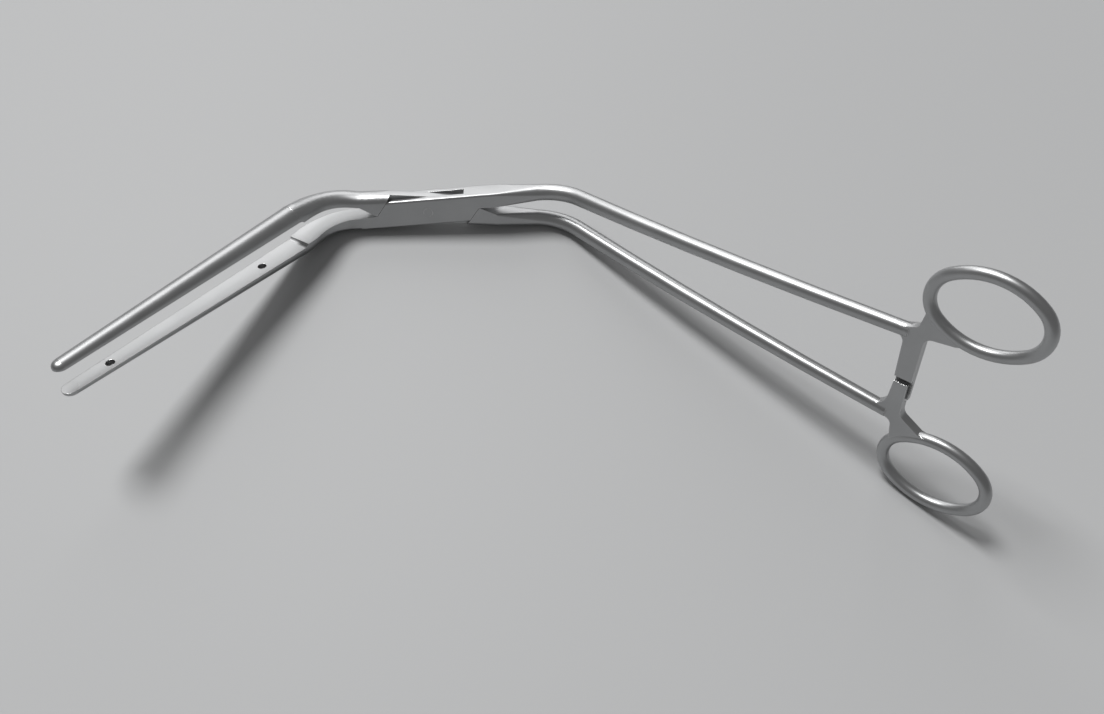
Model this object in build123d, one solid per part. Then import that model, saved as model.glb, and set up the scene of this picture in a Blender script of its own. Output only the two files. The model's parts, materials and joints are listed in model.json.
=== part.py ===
from build123d import *
from math import asin, atan2, cos, degrees, hypot, radians, sin, tan
import os

# Aortic clamp with a box lock, two bends and jaws for push-in inserts.
# Millimetres and degrees. The clamp is drawn closed, about its pivot: X runs along the lock to the finger
# rings, Y along the pivot pin, and Z from the lower ring to the upper one. Both ends bend towards -Y.

# Box lock
BOX_WIDTH = 7.2
BOX_HALF_HEIGHT = 5.2
BAR_SLOPE = 4.2
BOX_HALF_LENGTH = 24.0
SLOT_WIDTH = 3.0
SLOT_PLAY = 0.05
SHOULDER_GAP = 0.12
SHOULDER_TIP_X = 17.9
SHOULDER_TIP_Z = 1.4
SHOULDER_LEAN = 34.0
SLOT_END_LEAN = 48.0
BOX_EDGE_RADIUS = 0.8
PIN_RADIUS = 1.6
PIN_PLAY = 0.04

# Shanks
SHANK_BASE_INNER = 1.5
SHANK_BEND_REACH = 23.3
SHANK_BEND_X = BOX_HALF_LENGTH + SHANK_BEND_REACH
SHANK_BEND_Z = 5.8
SHANK_BEND_ANGLE = 46.9
SHANK_BEND_RADIUS = 20.0
SHANK_BOW_ANGLE = 4.6
SHANK_LENGTH = 115.0
SHANK_RISE = 8.3
SHANK_ROOT_RADIUS = 2.84
SHANK_END_RADIUS = 2.2
SHANK_FLAT = 0.3
SHANK_INNER_EDGE_RADIUS = 0.4
MALE_SHANK_EDGE_RADIUS = 2.2

# Finger rings, measured along the handle from the shank bend
RING_CENTRE = 149.2
RING_HALF_SPACING = 30.0
RING_LONG_RADIUS = 15.9
RING_SHORT_RADIUS = 11.6
RING_END_RADIUS = 9.4
RING_TUBE_RADIUS = 1.85

# Ratchet
ARM_START = 131.0
ARM_WIDTH = 5.0
TONGUE_WIDTH = 4.2
WEB_THICKNESS = 3.1
WEB_REACH = 5.0
FRONT_SHOULDER_Z = -0.6
FRONT_TONGUE_TOP_Z = -2.4
REAR_TONGUE_END_Z = -8.4
REAR_SHOULDER_Z = -9.8
TONGUE_GAP = 0.12
TOOTH_COUNT = 4
TOOTH_PITCH = 1.0
TOOTH_HEIGHT = 0.5

# Jaws, measured along the jaw from its bend
JAW_BASE_INNER = 2.25
BOX_JAW_ROOT_BACK = 1.0
MALE_JAW_ROOT_BACK = 2.6
MALE_JAW_ROOT_HEIGHT = 6.1
JAW_BEND_REACH = 11.1
JAW_BEND_X = BOX_HALF_LENGTH + JAW_BEND_REACH
JAW_BEND_ANGLE = 54.0
JAW_BEND_RADIUS = 16.0
JAW_LENGTH = 110.0
SEAT_START = 15.5
SEAT_Z_ROOT = 5.3
SEAT_Z_TIP = 4.2
SEAT_DEPTH = 1.2
SEAT_RAMP_RADIUS = 2.4
SEAT_LAND = 0.4
JAW_WIDTH_ROOT = 8.8
JAW_WIDTH_TIP = 5.1
JAW_BACK_ROOT = 4.5
JAW_BACK_TIP = 2.2
PEG_HOLE_RADIUS = 1.45
PEG_HOLE_DEPTH = 1.6
PEG_HOLE_POINT = 0.3
PEG_HOLE_PLACES = (33.3, 93.8)


# Guide lines of the clamp

def lerp(start, end, share):
    return start + (end - start) * share


def bar_edge(x):
    """Height of the upper edge of the box half's bar above the pivot."""
    return BOX_HALF_HEIGHT + x * tan(radians(BAR_SLOPE))


def shoulder_x(z):
    return SHOULDER_TIP_X - (SHOULDER_TIP_Z - z) * tan(radians(SHOULDER_LEAN))


def slot_end_x(z):
    return SHOULDER_TIP_X - (z - SHOULDER_TIP_Z) * tan(radians(SLOT_END_LEAN))


def turn_point(corner_x, bend_angle, bend_radius, share, side):
    """Plan point and heading at a share of the way round a bend; side is 1 for shanks and -1 for jaws."""
    tangent = bend_radius * tan(radians(bend_angle) / 2)
    turned = radians(bend_angle) * share
    along = corner_x - tangent + bend_radius * sin(turned)
    across = -bend_radius * (1 - cos(turned))
    return Vector(side * along, across), share * bend_angle


def shank_heading(distance):
    """Downward heading in plan, which opens a little along the bowed shank."""
    return SHANK_BEND_ANGLE - SHANK_BOW_ANGLE * min(distance / SHANK_LENGTH, 1)


def handle_point(distance):
    """Plan point of the handle at a distance from the shank bend, on an arc and then straight on."""
    steps = 24
    bowed = min(distance, SHANK_LENGTH)
    point = Vector(SHANK_BEND_X, 0)
    for step in range(steps):
        heading = radians(shank_heading(bowed * (step + 0.5) / steps))
        point += Vector(cos(heading), -sin(heading)) * (bowed / steps)
    heading = radians(shank_heading(distance))
    return point + Vector(cos(heading), -sin(heading)) * (distance - bowed)


def cross_plane(point, height, heading, side=1):
    """Plane across a bar at a plan point: local X level, local Y up, normal along the bar."""
    angle = radians(heading)
    forward = Vector(side * cos(angle), -sin(angle), 0)
    level = Vector(0, 0, 1).cross(forward)
    return Plane(origin=(point.X, point.Y, height), x_dir=level, z_dir=forward)


def handle_plane():
    """Plane of the rings and ratchet: X along the handle from the shank bend, Y up, normal to the front."""
    heading = radians(shank_heading(SHANK_LENGTH))
    forward = Vector(cos(heading), -sin(heading), 0)
    origin = handle_point(RING_CENTRE) - forward * RING_CENTRE
    return Plane(origin=origin, x_dir=forward, z_dir=forward.cross(Vector(0, 0, 1)))


# Cross sections

def bar_section(plane, width, height, outer_corner, inner_corner):
    """Rectangle about the plane's origin with its own corner radii at the top and at the bottom."""
    x, y = width / 2, height / 2
    radii = [inner_corner, inner_corner, outer_corner, outer_corner]
    outline = FilletPolyline((-x, -y), (x, -y), (x, y), (-x, y), radius=radii, close=True)
    return (plane * make_face(outline)).face()


def round_section(plane, radius):
    return (plane * Circle(radius)).face()


def round_bar_end(plane, radius):
    """Circle in eight arcs, which answer the four sides and four corners of a bar section."""
    side = 2 * degrees(asin(SHANK_FLAT / 2 / radius))
    arcs = []
    for middle in (0, 90, 180, 270):
        arcs.append(CenterArc((0, 0), radius, middle - side / 2, side))
        arcs.append(CenterArc((0, 0), radius, middle + side / 2, 90 - side))
    return (plane * make_face(Wire(arcs))).face()


def jaw_section(plane, width, side, back):
    """Flat top edge at the plane's origin, straight sides and a half-elliptic back below."""
    half = width / 2
    outline = [
        Line((-half, -side), (-half, 0)),
        Line((-half, 0), (half, 0)),
        Line((half, 0), (half, -side)),
        EllipticalCenterArc((0, -side), half, back, start_angle=180, arc_size=180),
    ]
    return (plane * make_face(Wire(outline))).face()


# Shank, ring and web of the upper handle

def shank_height(distance):
    return SHANK_BEND_Z + SHANK_RISE * distance / SHANK_LENGTH


def shank_base(first_corner):
    """Bar out of the lock, rounding off towards the bend."""
    tangent = SHANK_BEND_RADIUS * tan(radians(SHANK_BEND_ANGLE) / 2)
    centre_z = shank_height(-tangent)
    sections = []
    for share in (0, 0.5):
        x = lerp(BOX_HALF_LENGTH, SHANK_BEND_X - tangent, share)
        inner = lerp(SHANK_BASE_INNER, centre_z - SHANK_ROOT_RADIUS, share)
        outer = lerp(bar_edge(BOX_HALF_LENGTH), centre_z + SHANK_ROOT_RADIUS, share)
        width = lerp(BOX_WIDTH, 2 * SHANK_ROOT_RADIUS, share)
        outer_corner = lerp(first_corner, SHANK_ROOT_RADIUS, share)
        inner_corner = lerp(SHANK_INNER_EDGE_RADIUS, SHANK_ROOT_RADIUS, share)
        plane = cross_plane(Vector(x, 0), (inner + outer) / 2, 0)
        sections.append(bar_section(plane, width, outer - inner, outer_corner, inner_corner))
    end = cross_plane(Vector(SHANK_BEND_X - tangent, 0), centre_z, 0)
    return loft(sections + [round_bar_end(end, SHANK_ROOT_RADIUS)])


def bend_end():
    """Distance along the handle at which the shank's bend ends."""
    return SHANK_BEND_RADIUS * tan(radians(SHANK_BEND_ANGLE) / 2)


def bend_section(share):
    point, heading = turn_point(SHANK_BEND_X, SHANK_BEND_ANGLE, SHANK_BEND_RADIUS, share, 1)
    height = shank_height(lerp(-bend_end(), bend_end(), share))
    return round_section(cross_plane(point, height, heading), SHANK_ROOT_RADIUS)


def shank_section(distance):
    plane = cross_plane(handle_point(distance), shank_height(distance), shank_heading(distance))
    share = (distance - bend_end()) / (ARM_START - bend_end())
    return round_section(plane, lerp(SHANK_ROOT_RADIUS, SHANK_END_RADIUS, share))


def shank():
    """Round tube through the bend and on to the ratchet, bowed and tapered a little."""
    web_start = ARM_START - WEB_REACH - 1
    bend = loft([bend_section(share) for share in (0, 0.25, 0.5, 0.75, 1)])
    bowed = [shank_section(lerp(bend_end(), web_start, share)) for share in (0.2, 0.4, 0.6, 0.8, 1)]
    return bend + loft([bend_section(1)] + bowed + [shank_section(ARM_START)], ruled=True)


def ring_arcs():
    """The oval's four arcs as centre, radius, start and extent in degrees, about the middle of the ring."""
    end_x = RING_LONG_RADIUS - RING_END_RADIUS
    spread = end_x**2 + RING_SHORT_RADIUS**2 - RING_END_RADIUS**2
    side_radius = spread / (2 * (RING_SHORT_RADIUS - RING_END_RADIUS))
    side_y = RING_SHORT_RADIUS - side_radius
    turn = degrees(atan2(-side_y, end_x))
    return [
        (end_x, 0, RING_END_RADIUS, -turn, 2 * turn),
        (0, side_y, side_radius, turn, 180 - 2 * turn),
        (-end_x, 0, RING_END_RADIUS, 180 - turn, 2 * turn),
        (0, -side_y, side_radius, 180 + turn, 180 - 2 * turn),
    ]


def finger_ring():
    """Round tube bent into an oval of tangent arcs."""
    ring = Part()
    for x, y, radius, start, extent in ring_arcs():
        profile = Plane.XZ * Pos(radius, 0) * Circle(RING_TUBE_RADIUS)
        ring += Pos(x, y) * Rot(0, 0, start) * revolve(profile, axis=Axis.Z, revolution_arc=extent)
    return handle_plane().location * Pos(RING_CENTRE, RING_HALF_SPACING) * ring


def web(corners, fillets):
    """Flat web in the handle plane, outlined by corners and the fillet at each of them."""
    outline = FilletPolyline(*corners, radius=fillets, close=True)
    return extrude(handle_plane() * make_face(outline), WEB_THICKNESS / 2, both=True)


def upper_web():
    """Joins the shank, the ring and the ratchet arm of the box half."""
    arm_end = ARM_START + ARM_WIDTH
    tube = shank_height(ARM_START)
    ring_low = RING_HALF_SPACING - RING_SHORT_RADIUS
    corners = [
        (ARM_START, REAR_TONGUE_END_Z),
        (ARM_START - 0.8, tube - SHANK_END_RADIUS + 0.5),
        (ARM_START - WEB_REACH, tube - 1),
        (ARM_START - WEB_REACH, tube),
        (ARM_START + 2.4, tube + SHANK_END_RADIUS + 1),
        (ARM_START + 3.4, ring_low + 6.5),
        (ARM_START + 6, ring_low + 4),
        (RING_CENTRE - 2, ring_low),
        (RING_CENTRE - 5, ring_low - 1.2),
        (arm_end, ring_low - 2.6),
        (arm_end, REAR_TONGUE_END_Z),
    ]
    return web(corners, [0, 2.6, 0, 0, 2, 0, 0, 0, 0, 2.6, 0])


def lower_web():
    """Joins the shank, the ring and the ratchet tongue of the male half."""
    arm_end = ARM_START + TONGUE_WIDTH
    tube = shank_height(ARM_START)
    ring_low = RING_HALF_SPACING - RING_SHORT_RADIUS
    corners = [
        (ARM_START, -FRONT_TONGUE_TOP_Z),
        (ARM_START - 0.8, tube - SHANK_END_RADIUS - 0.5),
        (ARM_START - WEB_REACH, tube - 1),
        (ARM_START - WEB_REACH, tube),
        (ARM_START + 2.2, tube + SHANK_END_RADIUS - 0.3),
        (ARM_START + 3.4, ring_low + 6.5),
        (ARM_START + 6, ring_low + 4),
        (RING_CENTRE - 2, ring_low),
        (RING_CENTRE - 7, ring_low - 0.5),
        (arm_end + 0.2, ring_low - 4.4),
        (arm_end, -FRONT_TONGUE_TOP_Z),
    ]
    return mirror(web(corners, [0, 6.5, 0, 0, 2, 0, 0, 0, 0, 3, 0]), about=Plane.XY)


def lapped(arm, root_z, end_z, front):
    """Halves an arm's thickness beyond its root, with saw teeth on the face towards the other tongue."""
    away = 1 if front else -1
    mating = away * TONGUE_GAP / 2
    outer = away * WEB_THICKNESS
    toward_end = 1 if end_z > root_z else -1
    far = root_z - toward_end * 4 * RING_HALF_SPACING
    first_tooth = (root_z + end_z - toward_end * TOOTH_COUNT * TOOTH_PITCH) / 2
    corners = [(far, outer), (far, -outer), (root_z, -outer), (root_z, mating), (first_tooth, mating)]
    for tooth in range(TOOTH_COUNT):
        start = first_tooth + toward_end * tooth * TOOTH_PITCH
        corners.append((start, mating + away * TOOTH_HEIGHT))
        corners.append((start + toward_end * TOOTH_PITCH, mating))
    past = end_z + toward_end * TOOTH_PITCH
    corners += [(past, mating), (past, outer)]
    profile = make_face(Polyline(*corners, close=True))
    frame = handle_plane()
    across = Plane(origin=frame.from_local_coords((ARM_START, 0, 0)), x_dir=(0, 0, 1), z_dir=frame.x_dir)
    return arm & extrude(across * profile, 2 * RING_LONG_RADIUS, both=True)


# Lower jaw

def jaw_point(distance):
    angle = radians(JAW_BEND_ANGLE)
    return Vector(-JAW_BEND_X - distance * cos(angle), -distance * sin(angle))


def jaw_plane(distance, flat_z):
    return cross_plane(jaw_point(distance), -flat_z, JAW_BEND_ANGLE, side=-1)


def seat_share(distance):
    return (distance - SEAT_START) / (JAW_LENGTH - SEAT_START)


def peg_plane(distance):
    """Plane on the seat at a peg hole, with its normal square to the seat and towards the other jaw."""
    here = jaw_plane(distance, lerp(SEAT_Z_ROOT, SEAT_Z_TIP, seat_share(distance)))
    level = here.x_dir
    slope = (SEAT_Z_ROOT - SEAT_Z_TIP) / (JAW_LENGTH - SEAT_START)
    along = here.z_dir + Vector(0, 0, slope)
    return Plane(origin=here.origin, x_dir=along, z_dir=along.cross(level))


def blade_section(distance):
    share = seat_share(distance)
    width = lerp(JAW_WIDTH_ROOT, JAW_WIDTH_TIP, share)
    back = lerp(JAW_BACK_ROOT, JAW_BACK_TIP, share) - SEAT_LAND
    plane = jaw_plane(distance, lerp(SEAT_Z_ROOT, SEAT_Z_TIP, share))
    return jaw_section(plane, width, SEAT_LAND, back)


def jaw_root(root_height, root_back):
    """Bar that leaves the lock, turns the bend and swells to the D section of the seat."""
    tangent = JAW_BEND_RADIUS * tan(radians(JAW_BEND_ANGLE) / 2)
    ramp_end = SEAT_START + ramp_length()
    lead = JAW_BEND_X - tangent - BOX_HALF_LENGTH
    arc = JAW_BEND_RADIUS * radians(JAW_BEND_ANGLE)
    total = lead + arc + ramp_end - tangent
    stops = [(0, Vector(-BOX_HALF_LENGTH, 0), 0)]
    for share in (0, 0.25, 0.5, 0.75, 1):
        point, heading = turn_point(JAW_BEND_X, JAW_BEND_ANGLE, JAW_BEND_RADIUS, share, -1)
        stops.append((lead + arc * share, point, heading))
    stops.append((total, jaw_point(ramp_end), JAW_BEND_ANGLE))
    sections = []
    for travelled, point, heading in stops:
        share = travelled / total
        inner = lerp(JAW_BASE_INNER, SEAT_Z_ROOT - SEAT_DEPTH, min(travelled / (lead + arc), 1))
        outer = lerp(root_height, SEAT_Z_ROOT + JAW_BACK_ROOT, share)
        back = lerp(root_back, JAW_BACK_ROOT - SEAT_LAND, share)
        width = lerp(BOX_WIDTH, JAW_WIDTH_ROOT, share)
        plane = cross_plane(point, -inner, heading, side=-1)
        sections.append(jaw_section(plane, width, outer - inner - back, back))
    return loft(sections)


def ramp_length():
    rise = SEAT_RAMP_RADIUS - SEAT_DEPTH
    return (SEAT_RAMP_RADIUS**2 - rise**2) ** 0.5


def jaw_tip():
    half = JAW_WIDTH_TIP / 2
    section = jaw_plane(JAW_LENGTH - half, SEAT_Z_TIP)
    level = Plane(origin=section.origin, x_dir=section.z_dir, z_dir=(0, 0, 1))
    land = extrude(level * Circle(half), -SEAT_LAND)
    dome = scale(Sphere(1), by=(half, half, JAW_BACK_TIP - SEAT_LAND))
    back = split(dome, bisect_by=Plane.XY, keep=Keep.BOTTOM)
    return land + level.location * Pos(0, 0, -SEAT_LAND) * back


def peg_hole():
    """Blind hole from the seat down, with the shallow cone that a drill leaves."""
    half = [
        (0, PEG_HOLE_DEPTH),
        (PEG_HOLE_RADIUS, PEG_HOLE_DEPTH),
        (PEG_HOLE_RADIUS, -PEG_HOLE_DEPTH),
        (0, -PEG_HOLE_DEPTH - PEG_HOLE_POINT),
    ]
    return revolve(Plane.XZ * make_face(Polyline(*half, close=True)), axis=Axis.Z)


def lower_jaw(root_height, root_back):
    blade = loft([blade_section(SEAT_START), blade_section(JAW_LENGTH - JAW_WIDTH_TIP / 2)], ruled=True)
    ramp_end = SEAT_START + ramp_length()
    ramp_plane = jaw_plane(ramp_end, SEAT_Z_ROOT - SEAT_RAMP_RADIUS)
    ramp_side = Plane(ramp_plane.origin, x_dir=ramp_plane.z_dir, z_dir=ramp_plane.x_dir)
    ramp = extrude(ramp_side * Circle(SEAT_RAMP_RADIUS), JAW_WIDTH_ROOT, both=True)
    jaw = jaw_root(root_height, root_back) - ramp + blade + jaw_tip()
    for place in PEG_HOLE_PLACES:
        jaw -= peg_plane(place) * peg_hole()
    return jaw


# Box lock, drawn as profiles of X and Z

def plate(corners, thickness):
    return extrude(Plane.XZ * make_face(Polyline(*corners, close=True)), thickness / 2, both=True)


def shoulder_foot(slope):
    """Where the shoulder line meets a lower edge of the given slope under the pivot."""
    lean = tan(radians(SHOULDER_LEAN))
    middle = SHOULDER_TIP_X - SHOULDER_TIP_Z * lean
    z = (-BOX_HALF_HEIGHT + slope * middle) / (1 - slope * lean)
    return shoulder_x(z), z


def slot_outline():
    """Space in the box where the tenon swings, from one slot end to the other and past both edges."""
    past = 2 * BOX_HALF_HEIGHT
    half = [
        (SHOULDER_TIP_X, SHOULDER_TIP_Z),
        (slot_end_x(past), past),
        (-BOX_HALF_LENGTH, past),
    ]
    return half + [(-x, -z) for x, z in half]


def box_body():
    end_edge = bar_edge(BOX_HALF_LENGTH)
    slope = tan(radians(BAR_SLOPE))
    foot_x, foot_z = shoulder_foot(slope)
    outline = [
        (BOX_HALF_LENGTH, end_edge),
        (BOX_HALF_LENGTH, SHANK_BASE_INNER),
        (SHOULDER_TIP_X, SHOULDER_TIP_Z),
        (foot_x, foot_z),
        (-BOX_HALF_LENGTH, -end_edge),
        (-BOX_HALF_LENGTH, -JAW_BASE_INNER),
        (-SHOULDER_TIP_X, -SHOULDER_TIP_Z),
        (-foot_x, -foot_z),
    ]
    body = plate(outline, BOX_WIDTH)
    long_edges = body.edges().filter_by(lambda edge: edge.length > BOX_HALF_LENGTH)
    return fillet(long_edges, BOX_EDGE_RADIUS) - plate(slot_outline(), SLOT_WIDTH)


def jaw_root_bar():
    """Round-backed bar that the male half's jaw root is cut from, above the pivot."""
    back = MALE_JAW_ROOT_BACK
    sections = []
    for x, outer in ((-BOX_HALF_LENGTH, MALE_JAW_ROOT_HEIGHT), (0, BOX_HALF_HEIGHT + SHOULDER_TIP_Z)):
        plane = cross_plane(Vector(x, 0), BOX_HALF_HEIGHT, 0, side=-1)
        sections.append(jaw_section(plane, BOX_WIDTH, outer + BOX_HALF_HEIGHT - back, back))
    return mirror(loft(sections, ruled=True), about=Plane.XY)


def shank_root_bar():
    """Round-edged bar that the male half's shank root is cut from, below the pivot."""
    sections = []
    for x in (0, BOX_HALF_LENGTH):
        height = bar_edge(x) + BOX_HALF_HEIGHT
        plane = cross_plane(Vector(x, 0), height / 2 - BOX_HALF_HEIGHT, 0)
        corners = (MALE_SHANK_EDGE_RADIUS, SHANK_INNER_EDGE_RADIUS)
        sections.append(bar_section(plane, BOX_WIDTH, height, *corners))
    return mirror(loft(sections, ruled=True), about=Plane.XY)


def male_body():
    end_edge = bar_edge(BOX_HALF_LENGTH)
    slope = tan(radians(BAR_SLOPE))
    foot_x, foot_z = shoulder_foot(-slope)
    gap = SHOULDER_GAP / cos(radians(SHOULDER_LEAN))
    tip = (SHOULDER_TIP_X + gap, SHOULDER_TIP_Z)
    foot = (foot_x + gap, foot_z)
    shank_root = [tip, foot, (BOX_HALF_LENGTH, -end_edge), (BOX_HALF_LENGTH, -SHANK_BASE_INNER)]
    jaw_root_outline = [
        (-tip[0], -tip[1]),
        (-foot[0], -foot[1]),
        (-BOX_HALF_LENGTH, MALE_JAW_ROOT_HEIGHT),
        (-BOX_HALF_LENGTH, JAW_BASE_INNER),
    ]
    drop = BOX_HALF_LENGTH * slope
    band = [
        (-foot[0], -foot[1]),
        (BOX_HALF_LENGTH, BOX_HALF_HEIGHT - drop),
        (BOX_HALF_LENGTH, -end_edge),
        (-BOX_HALF_LENGTH, drop - BOX_HALF_HEIGHT),
        (-BOX_HALF_LENGTH, -tip[1]),
        (-tip[0], -tip[1]),
    ]
    swing = offset(make_face(Polyline(*slot_outline(), close=True)), -SHOULDER_GAP, kind=Kind.INTERSECTION)
    tenon = extrude(Plane.XZ * swing, SLOT_WIDTH / 2 - SLOT_PLAY, both=True) & plate(band, SLOT_WIDTH)
    shank_side = plate(shank_root, BOX_WIDTH) & shank_root_bar()
    jaw_side = plate(jaw_root_outline, BOX_WIDTH) & jaw_root_bar()
    return shank_side + jaw_side + tenon


def pivot_rod(radius):
    return Plane.XZ.location * Cylinder(radius, BOX_WIDTH)


# The three pieces

def box_half():
    arm = lapped(upper_web(), FRONT_SHOULDER_Z, REAR_TONGUE_END_Z, front=False)
    handle = shank_base(BOX_EDGE_RADIUS) + shank() + finger_ring() + arm
    jaw = lower_jaw(bar_edge(BOX_HALF_LENGTH), BOX_JAW_ROOT_BACK)
    return box_body() + handle + jaw - pivot_rod(PIN_RADIUS)


def male_half():
    arm = lapped(lower_web(), REAR_SHOULDER_Z, FRONT_TONGUE_TOP_Z, front=True)
    handle = shank_base(MALE_SHANK_EDGE_RADIUS) + shank() + finger_ring()
    jaw = lower_jaw(MALE_JAW_ROOT_HEIGHT, MALE_JAW_ROOT_BACK)
    ends = mirror(handle, about=Plane.XY) + arm + mirror(jaw, about=Plane.XY)
    return male_body() + ends - pivot_rod(PIN_RADIUS + PIN_PLAY)


# Resting place: the closed clamp lies on its lower ring, the lower shank's bend and the box's jaw end

def ring_support(up):
    """Lowest point of the lower ring, as seen from the given up direction."""
    frame = handle_plane()
    down = Vector(-up.dot(frame.x_dir), -up.Z)
    heading = degrees(atan2(down.Y, down.X)) % 360
    for x, y, radius, start, extent in ring_arcs():
        if (heading - start) % 360 <= extent:
            reach = Vector(x, y) + down * (radius / hypot(down.X, down.Y))
    lowest = frame.from_local_coords((RING_CENTRE + reach.X, reach.Y - RING_HALF_SPACING, 0))
    return lowest - up * RING_TUBE_RADIUS


def bend_support(up):
    """Lowest point of the lower shank's bend."""
    tangent = SHANK_BEND_RADIUS * tan(radians(SHANK_BEND_ANGLE) / 2)
    candidates = []
    for step in range(21):
        share = step / 20
        plan, _ = turn_point(SHANK_BEND_X, SHANK_BEND_ANGLE, SHANK_BEND_RADIUS, share, 1)
        height = -shank_height(lerp(-tangent, tangent, share))
        candidates.append(Vector(plan.X, plan.Y, height) - up * SHANK_ROOT_RADIUS)
    return min(candidates, key=up.dot)


def table_plane():
    up = Vector(0, 0, 1)
    corner = Vector(-BOX_HALF_LENGTH, BOX_WIDTH / 2, -bar_edge(BOX_HALF_LENGTH))
    for _ in range(8):
        up = (ring_support(up) - corner).cross(bend_support(up) - corner).normalized()
    forward = Vector(1, 0, 0) - up * up.X
    return Plane(origin=corner, x_dir=forward, z_dir=up)


def laid_down(pieces):
    """The pieces in the table's frame, with the origin under the middle of their outline."""
    table = table_plane()
    laid = {name: table.to_local_coords(piece) for name, piece in pieces.items()}
    outline = Compound(children=[piece.solid() for piece in laid.values()]).bounding_box()
    centre = outline.center()
    shift = Pos(-centre.X, -centre.Y, -outline.min.Z)
    return {name: shift * piece for name, piece in laid.items()}


os.makedirs("parts", exist_ok=True)
drawn = {"box_half": box_half(), "male_half": male_half(), "pivot_pin": pivot_rod(PIN_RADIUS)}
for name, piece in laid_down(drawn).items():
    export_step(piece.solid(), f"parts/{name}.step")
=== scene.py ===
"""Aortic clamp: two forged halves in satin steel, with frosted jaw seats, on a plain studio table."""
import json
from math import cos, radians, sin

import bmesh
import bpy
from mathutils import Matrix, Vector


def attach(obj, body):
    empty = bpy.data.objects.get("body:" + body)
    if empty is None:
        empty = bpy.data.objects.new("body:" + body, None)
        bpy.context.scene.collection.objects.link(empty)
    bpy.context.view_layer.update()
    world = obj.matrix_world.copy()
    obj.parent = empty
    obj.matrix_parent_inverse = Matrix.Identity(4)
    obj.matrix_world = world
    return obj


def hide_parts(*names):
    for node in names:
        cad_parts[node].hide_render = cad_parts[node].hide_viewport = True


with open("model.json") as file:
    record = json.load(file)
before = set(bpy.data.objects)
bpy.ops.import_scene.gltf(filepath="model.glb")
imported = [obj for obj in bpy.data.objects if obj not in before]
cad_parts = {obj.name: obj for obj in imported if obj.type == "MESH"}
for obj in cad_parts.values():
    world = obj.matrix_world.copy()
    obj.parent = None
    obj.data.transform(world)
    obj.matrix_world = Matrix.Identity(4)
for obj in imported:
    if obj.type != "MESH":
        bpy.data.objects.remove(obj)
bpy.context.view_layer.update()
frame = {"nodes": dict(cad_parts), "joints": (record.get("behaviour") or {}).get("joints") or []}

MM = 0.001

# The clamp's own directions, from its pivot: along the lock, along the pin and in the opening direction
hinge = frame["joints"][0]
pivot = Vector(hinge["pos_m"])
pin_way = -Vector(hinge["axis"]).normalized()
lock_way = Vector((0, 1, 0)).cross(pin_way).normalized() * -1
open_way = lock_way.cross(pin_way).normalized()


def lock_coords(point):
    """Distances from the pivot along the lock, along the pin and in the opening direction."""
    arm = point - pivot
    return Vector((arm.dot(lock_way), arm.dot(pin_way), arm.dot(open_way)))


# Materials

BEVEL_SAMPLES = 6
# How quickly the edge mask of real polish and painted sheen rises to 1 near an edge
POLISH_AND_SHEEN_GAIN = 9
HAIRLINE_STRETCH = (1, 14, 14)


class Term:
    """A shader socket that ordinary arithmetic turns into Math nodes."""

    def __init__(self, finish, socket):
        self.finish = finish
        self.socket = socket

    def math(self, operation, other):
        return self.finish.node("ShaderNodeMath", {"operation": operation}, {0: self, 1: other})

    def __add__(self, other):
        return self.math("ADD", other)

    def __radd__(self, other):
        return self.math("ADD", other)

    def __sub__(self, other):
        return self.math("SUBTRACT", other)

    def __rsub__(self, other):
        return (self * -1).math("ADD", other)

    def __mul__(self, other):
        return self.math("MULTIPLY", other)


class Finish:
    """A material built from nodes, each of which gives a Term."""

    def __init__(self, name):
        self.material = bpy.data.materials.new(name)
        self.material.use_nodes = True
        self.tree = self.material.node_tree
        self.shader = self.tree.nodes["Principled BSDF"]

    def connect(self, target, value):
        if isinstance(value, Term):
            self.tree.links.new(value.socket, target)
        else:
            target.default_value = value

    def node(self, kind, settings=None, values=None, output=0):
        added = self.tree.nodes.new(kind)
        for name, value in (settings or {}).items():
            setattr(added, name, value)
        for name, value in (values or {}).items():
            self.connect(added.inputs[name], value)
        return Term(self, added.outputs[output])

    def place(self, stretch=(1, 1, 1)):
        """Object coordinates turned to the clamp's own directions and stretched."""
        point = self.node("ShaderNodeTexCoord", output="Object")
        turn = Matrix((lock_way, pin_way, open_way)).to_euler()
        turned = self.node("ShaderNodeMapping", values={"Vector": point, "Rotation": turn})
        return self.node("ShaderNodeMapping", values={"Vector": turned, "Scale": stretch})

    def noise(self, point, scale, detail=3, roughness=0.5):
        """Noise with this many features to the metre."""
        return self.node("ShaderNodeTexNoise", values={"Vector": point, "Scale": scale,
                                                       "Detail": detail, "Roughness": roughness})

    def rounded(self, radius):
        """Normals as if every edge had this small radius."""
        return self.node("ShaderNodeBevel", {"samples": BEVEL_SAMPLES}, {"Radius": radius})

    def edge_polish_and_sheen(self, radius):
        """1 along the edges and 0 beyond this distance: the polish that handling gives them, which
        lowers the roughness, and a painted sheen, which lightens their colour.
        """
        flat = self.node("ShaderNodeNewGeometry", output="Normal")
        alike = self.node("ShaderNodeVectorMath", {"operation": "DOT_PRODUCT"},
                          {0: self.rounded(radius), 1: flat}, output="Value")
        return ((1 - alike) * POLISH_AND_SHEEN_GAIN).math("MINIMUM", 1.0)

    def bump(self, height, distance, strength, normal):
        return self.node("ShaderNodeBump", values={"Height": height, "Distance": distance,
                                                   "Strength": strength, "Normal": normal})

    def blend(self, share, first, second):
        """From the first colour to the second: a Mix node's colours are inputs 6, 7 and output 2."""
        return self.node("ShaderNodeMix", {"data_type": "RGBA"}, {0: share, 6: first, 7: second},
                         output=2)

    def surface(self, **values):
        for name, value in values.items():
            self.connect(self.shader.inputs[name.replace("_", " ")], value)
        return self.material


def grey(level, warmth=0.0):
    """A grey, made redder by a warmth above 0 and bluer by one below it."""
    return (level * (1 + warmth), level, level * (1 - warmth), 1)


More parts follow.
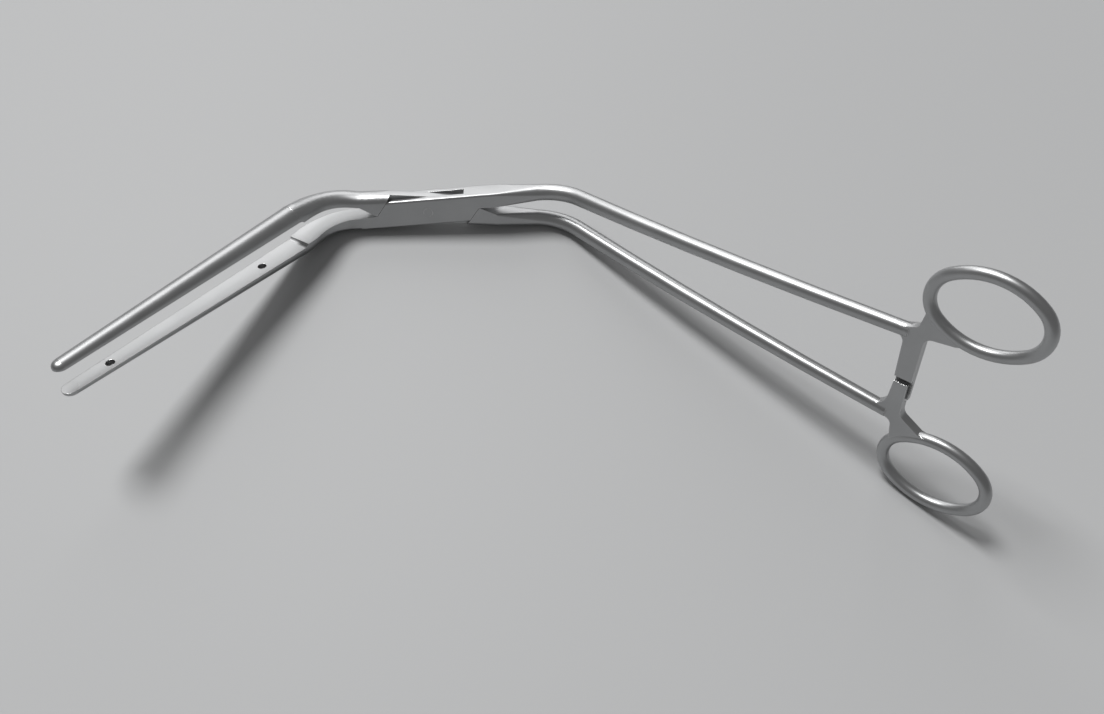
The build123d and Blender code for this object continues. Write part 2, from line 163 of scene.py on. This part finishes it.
def satin_steel():
    """Satin of the shanks, rings and box: cloudy patches, lengthwise hairlines and polished edges,
    whose lighter colour is a painted sheen.
    """
    finish = Finish("satin steel")
    cloud = finish.noise(finish.place(), scale=90)
    grain = finish.noise(finish.place(), scale=9000, detail=2)
    hairline = finish.noise(finish.place(HAIRLINE_STRETCH), scale=700, roughness=0.6)
    polish_and_sheen = finish.edge_polish_and_sheen(0.3 * MM)
    body = finish.blend(cloud, grey(0.36, -0.01), grey(0.46, -0.01))
    # The edges' lighter grey is a painted sheen along them; their lower roughness below is real polish.
    colour = finish.blend(polish_and_sheen, body, grey(0.66))
    roughness = 0.31 + cloud * 0.06 + hairline * 0.06 - polish_and_sheen * 0.12
    normal = finish.bump(height=grain * 0.6 + hairline * 0.4, distance=0.008 * MM, strength=0.4,
                         normal=finish.rounded(0.2 * MM))
    return finish.surface(Base_Color=colour, Metallic=1.0, Roughness=roughness, Normal=normal)


def frosted_steel():
    """Glass-beaded finish of the insert seats, with a polished rim whose near-white colour is a painted
    highlight.
    """
    finish = Finish("frosted seat steel")
    cloud = finish.noise(finish.place(), scale=260)
    pits = finish.noise(finish.place(), scale=7000, roughness=0.65)
    polish_and_sheen = finish.edge_polish_and_sheen(0.25 * MM)
    body = finish.blend(cloud, grey(0.40), grey(0.50))
    # The rim's near-white grey is a painted highlight along the seat's edge; its lower roughness below
    # is real polish.
    colour = finish.blend(polish_and_sheen, body, grey(0.85))
    roughness = 0.46 + pits * 0.14 - polish_and_sheen * 0.2
    normal = finish.bump(height=pits, distance=0.03 * MM, strength=0.8,
                         normal=finish.rounded(0.1 * MM))
    return finish.surface(Base_Color=colour, Metallic=1.0, Roughness=roughness, Normal=normal)


def table_paint():
    finish = Finish("plain table")
    return finish.surface(Base_Color=grey(0.45, -0.01), Roughness=0.6)


# Forged halves

# The seats are the flat faces beyond this place along the lock
JAW_SEAT_FROM = -44 * MM
FLAT_FACE = 0.995
SHARP_EDGE = radians(27)
SAME_POINT = 0.001 * MM

# The jaw's root and seat, in millimetres along the jaw from its bend, across it and from the clamp's
# middle plane
JAW_BEND = 35.1
JAW_TURN = radians(54)
ROOT_START = 2
ROOT_REACH = 6
ROOT_HEIGHTS = (3, 11)
SEAT_START = 15.5
RAMP_END = 17.58
SEAT_HEIGHT = 5.3
LAND_HEIGHT = 5.7
SEAT_HALF_WIDTH = 4.4
SEAT_BACK = 4.1
ROOT_SHIFT = 0.5275
ROOT_WIDEN = 1.1535
ROOT_DEEPEN = 1.06

# How near, in millimetres, a point is to the place that it is compared with
ALONG_SLACK = 0.01
SIDE_SLACK = 0.03
RING_SLACK = 0.02
RING_MERGE = 0.2
# The share of the blade's half oval from which a point is taken to be on its back
ON_BACK = 0.985


def on_blade(along, across, height):
    """Whether a point of the ring where root and blade meet is on the blade's own outline."""
    if along < SEAT_START - ALONG_SLACK:
        return False
    if height <= LAND_HEIGHT:
        return abs(across) > SEAT_HALF_WIDTH - SIDE_SLACK and height > SEAT_HEIGHT - ALONG_SLACK
    reach = (across / SEAT_HALF_WIDTH) ** 2 + ((height - LAND_HEIGHT) / SEAT_BACK) ** 2
    return reach > ON_BACK


def flow_root_into_blade(shape, side):
    """Moves the end of a jaw's root onto the outline of the blade, so that they meet without a step."""
    across_way = lock_way * sin(JAW_TURN) - pin_way * cos(JAW_TURN)
    lowest, highest = ROOT_HEIGHTS
    ring = []
    for vert in shape.verts:
        place = lock_coords(vert.co) / MM
        along = -(place.x + JAW_BEND) * cos(JAW_TURN) - place.y * sin(JAW_TURN)
        across = (place.x + JAW_BEND) * sin(JAW_TURN) - place.y * cos(JAW_TURN)
        height = side * place.z
        in_length = ROOT_START < along < RAMP_END
        if not (in_length and abs(across) < ROOT_REACH and lowest < height < highest):
            continue
        if abs(along - SEAT_START) < RING_SLACK:
            ring.append(vert)
        if on_blade(along, across, height):
            continue
        if along <= SEAT_START:
            share = (along - ROOT_START) / (SEAT_START - ROOT_START)
            share = share * share * (3 - 2 * share)
        else:
            share = (RAMP_END - along) / (RAMP_END - SEAT_START)
        sideways = share * ((across - ROOT_SHIFT) * ROOT_WIDEN - across) * MM
        outward = share * max(height - SEAT_HEIGHT, 0) * (ROOT_DEEPEN - 1) * MM
        vert.co += across_way * sideways + open_way * (side * outward)
    bmesh.ops.remove_doubles(shape, verts=ring, dist=RING_MERGE * MM)
    shape.normal_update()


def finished_forging(node, body, finishes, jaw_side=0):
    """Puts a merged copy of a node in its place, with smooth round stretches and crisp edges.

    The first finish is for the body and the second for the flat seat of the jaw, which is on the side
    given: 1 is upper, -1 is lower and 0 is none.
    """
    forging = frame["nodes"][node].copy()
    forging.data = forging.data.copy()
    forging.name = node + "_finished"
    for key in list(forging.keys()):
        del forging[key]
    bpy.context.scene.collection.objects.link(forging)
    shape = bmesh.new()
    shape.from_mesh(forging.data)
    bmesh.ops.remove_doubles(shape, verts=shape.verts, dist=SAME_POINT)
    if jaw_side:
        flow_root_into_blade(shape, jaw_side)
    for edge in shape.edges:
        edge.smooth = edge.is_manifold and edge.calc_face_angle(0) < SHARP_EDGE
    for face in shape.faces:
        face.smooth = True
        place = lock_coords(face.calc_center_median())
        is_seat = place.x < JAW_SEAT_FROM and abs(face.normal.dot(open_way)) > FLAT_FACE
        face.material_index = int(is_seat)
    shape.to_mesh(forging.data)
    shape.free()
    forging.data.materials.clear()
    for finish in finishes:
        forging.data.materials.append(finish)
    forging.parent = None
    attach(forging, body)
    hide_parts(node)


steel_finishes = [satin_steel(), frosted_steel()]
finished_forging("box_half", "box", steel_finishes, jaw_side=-1)
finished_forging("male_half", "male", steel_finishes, jaw_side=1)
finished_forging("pivot_pin", "box", steel_finishes)


# Table, light and camera

# Half the side of the table, in metres
TABLE_REACH = 4

# Where each light comes from, how many degrees wide it is, and its power
LIGHTS = {
    "overhead light": ((-0.3, 0.4, 0.8), 20, 2.6),
    "low back light": ((-0.1, 0.9, 0.42), 40, 0.7),
}
SKY = grey(0.2)


def table():
    shape = bmesh.new()
    bmesh.ops.create_grid(shape, x_segments=1, y_segments=1, size=TABLE_REACH)
    mesh = bpy.data.meshes.new("table")
    shape.to_mesh(mesh)
    shape.free()
    mesh.materials.append(table_paint())
    top = bpy.data.objects.new("table", mesh)
    bpy.context.scene.collection.objects.link(top)


def soft_light(name, place, spread, power):
    """Even light from far away, as wide across as the given angle."""
    lamp = bpy.data.lights.new(name, "SUN")
    lamp.angle = radians(spread)
    lamp.energy = power
    holder = bpy.data.objects.new(name, lamp)
    holder.location = place
    holder.rotation_euler = Vector(place).to_track_quat("Z", "Y").to_euler()
    bpy.context.scene.collection.objects.link(holder)


def studio():
    world = bpy.data.worlds.new("studio")
    world.use_nodes = True
    world.node_tree.nodes["Background"].inputs["Color"].default_value = SKY
    bpy.context.scene.world = world
    for name, (place, spread, power) in LIGHTS.items():
        soft_light(name, place, spread, power)


# The camera's place is in millimetres from the pivot, along the lock, the pin and the opening
# direction, and its angles are in degrees
CAMERA_PLACE = (38.3, -303.4, 192.4)
CAMERA_TURN = -0.911
CAMERA_RISE = 41.024
CAMERA_ROLL = -0.526
FOCAL_PIXELS = 1001.0
PHOTO_WIDTH = 1104
SENSOR_WIDTH = 36
NEAREST_SEEN = 0.01


def camera():
    turn, rise, roll = (radians(angle) for angle in (CAMERA_TURN, CAMERA_RISE, CAMERA_ROLL))
    back = Vector((sin(turn) * cos(rise), -cos(turn) * cos(rise), sin(rise)))
    level = Vector((cos(turn), sin(turn), 0))
    up = back.cross(level)
    right = level * cos(roll) + up * sin(roll)
    up = up * cos(roll) - level * sin(roll)
    clamp_ways = Matrix((lock_way, pin_way, open_way)).transposed()
    facing = clamp_ways @ Matrix((right, up, back)).transposed()
    view = bpy.data.cameras.new("photo camera")
    view.sensor_width = SENSOR_WIDTH
    view.lens = FOCAL_PIXELS * view.sensor_width / PHOTO_WIDTH
    view.clip_start = NEAREST_SEEN
    holder = bpy.data.objects.new("photo camera", view)
    place = pivot + clamp_ways @ (Vector(CAMERA_PLACE) * MM)
    holder.matrix_world = Matrix.Translation(place) @ facing.to_4x4()
    bpy.context.scene.collection.objects.link(holder)
    bpy.context.scene.camera = holder


table()
studio()
camera()
bpy.context.scene.view_settings.view_transform = "Standard"
